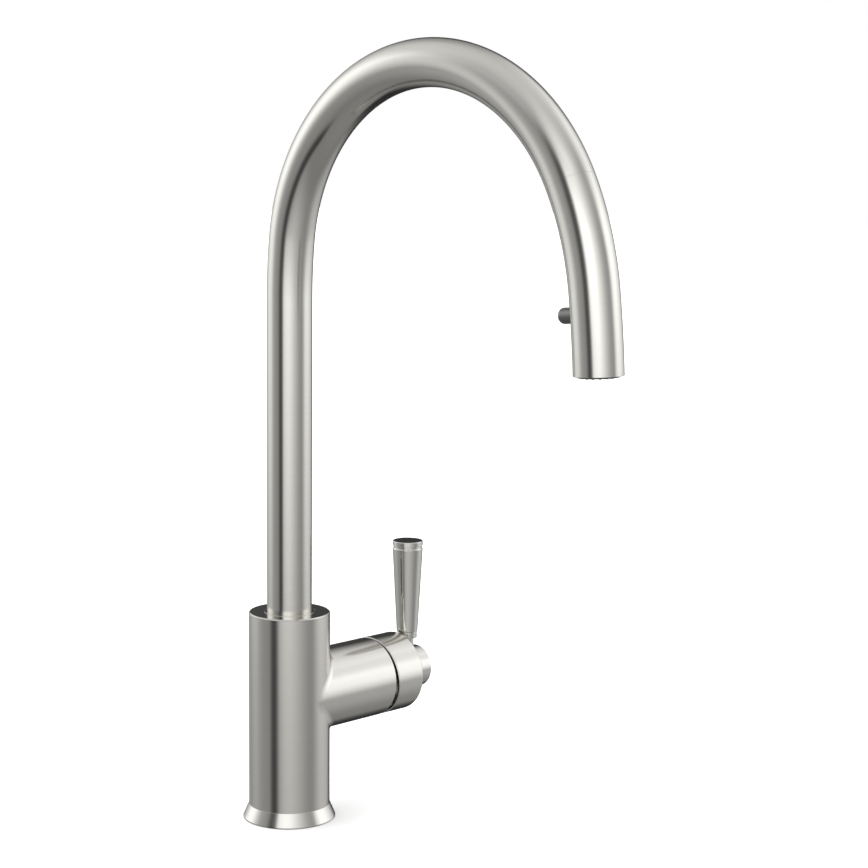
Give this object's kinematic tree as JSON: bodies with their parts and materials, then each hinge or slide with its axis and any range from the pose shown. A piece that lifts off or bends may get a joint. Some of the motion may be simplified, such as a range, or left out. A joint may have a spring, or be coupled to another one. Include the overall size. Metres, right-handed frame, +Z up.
{
  "type": "pull down kitchen faucet",
  "caption": "Single-hole kitchen faucet with a swivelling gooseneck, a pull-down spray head with a side button, and a side arm whose hub carries an upright lever.",
  "frame": {"origin": "centre of the flange where it stands on the deck, on the column's axis", "axes": "+Z up the column, +X out along the handle's arm, -Y towards the spout's outlet and the user"},
  "size_m": [0.1425, 0.2917, 0.5437],
  "materials": {
    "satin_nickel": "satin brushed nickel",
    "bright_nickel": "bright turned nickel",
    "brass": "machined brass",
    "plain_steel": "bright stainless steel",
    "black_plastic": "moulded, satin",
    "dark_grey_plastic": "moulded, satin",
    "white_plastic": "moulded",
    "ceramic": "lapped ceramic",
    "black_rubber": "matt",
    "grey_rubber": "silicone, matt",
    "hose_braid": "nylon braid"
  },
  "bodies": {
    "body": {"base_flange": "bright_nickel", "deck_gasket": "black_rubber", "valve_body": "satin_nickel", "mounting_shank": "brass", "rubber_washer": "black_rubber", "steel_washer": "plain_steel", "mounting_nut": "brass", "clamp_screws": "plain_steel", "thrust_ring": "white_plastic", "cartridge_base": "white_plastic", "cartridge_base_seals": "black_rubber", "cartridge_shell": "white_plastic", "fixed_disc": "ceramic", "cartridge_nut": "brass", "gap_ring": "white_plastic"},
    "rotor": {"cartridge_rotor": "white_plastic", "pivot_pin": "plain_steel"},
    "disc": {"moving_disc": "ceramic", "drive_plate": "white_plastic"},
    "handle": {"handle_spindle": "plain_steel", "handle_hub": "satin_nickel", "end_knob": "bright_nickel", "hub_set_screw": "plain_steel", "lever_stud": "bright_nickel", "lever_collar": "bright_nickel", "lever_grip": "satin_nickel", "lever_cap": "bright_nickel"},
    "spout": {"spout_tube": "satin_nickel", "spout_ferrule": "brass", "spout_seals": "black_rubber", "spout_clip": "plain_steel", "spout_glide_ring": "satin_nickel", "dock_guide": "black_plastic", "spray_hose": "hose_braid"},
    "spray_head": {"spray_shell": "satin_nickel", "dock_neck": "black_plastic", "hose_nut": "plain_steel", "hose_washer": "black_rubber", "check_valve": "white_plastic", "waterway": "dark_grey_plastic", "face_gasket": "black_rubber", "spray_face": "black_plastic", "spray_nozzles": "grey_rubber", "aerator_housing": "black_plastic", "aerator_screen": "plain_steel", "button_spring": "plain_steel"},
    "button": {"spray_button": "dark_grey_plastic", "diverter_plunger": "white_plastic", "diverter_seals": "black_rubber"}
  },
  "joints": [
    {"name": "spout_swivel", "type": "hinge", "parent": "body", "child": "spout", "pos_m": [0, 0, 0.097], "axis": [0, 0, 1], "continuous": true},
    {"name": "spray_pull", "type": "slide", "parent": "spout", "child": "spray_head", "axis": [0, -0.46, -0.8879], "range_m": [0, 0.25], "stiffness_N_per_m": 12, "springref_m": -0.5, "deforming": ["spray_hose"]},
    {"name": "spray_button_press", "type": "slide", "parent": "spray_head", "child": "button", "axis": [0, -0.9941, 0.1084], "range_m": [0, 0.002], "stiffness_N_per_m": 300, "springref_m": -0.003, "deforming": ["button_spring"]},
    {"name": "handle_temperature", "type": "hinge", "parent": "body", "child": "rotor", "pos_m": [0.0555, 0, 0.0778], "axis": [1, 0, 0], "range_deg": [-45, 45]},
    {"name": "handle_flow", "type": "hinge", "parent": "rotor", "child": "handle", "pos_m": [0.0555, 0, 0.0778], "axis": [0, 1, 0], "range_deg": [0, 8]},
    {"name": "disc_slide", "type": "slide", "parent": "rotor", "child": "disc", "axis": [0, 0, 1], "range_m": [0, 0.0012]}
  ],
  "couplings": [
    {"joint": "disc_slide", "follows": "handle_flow", "m_per_rad": 0.008}
  ]
}
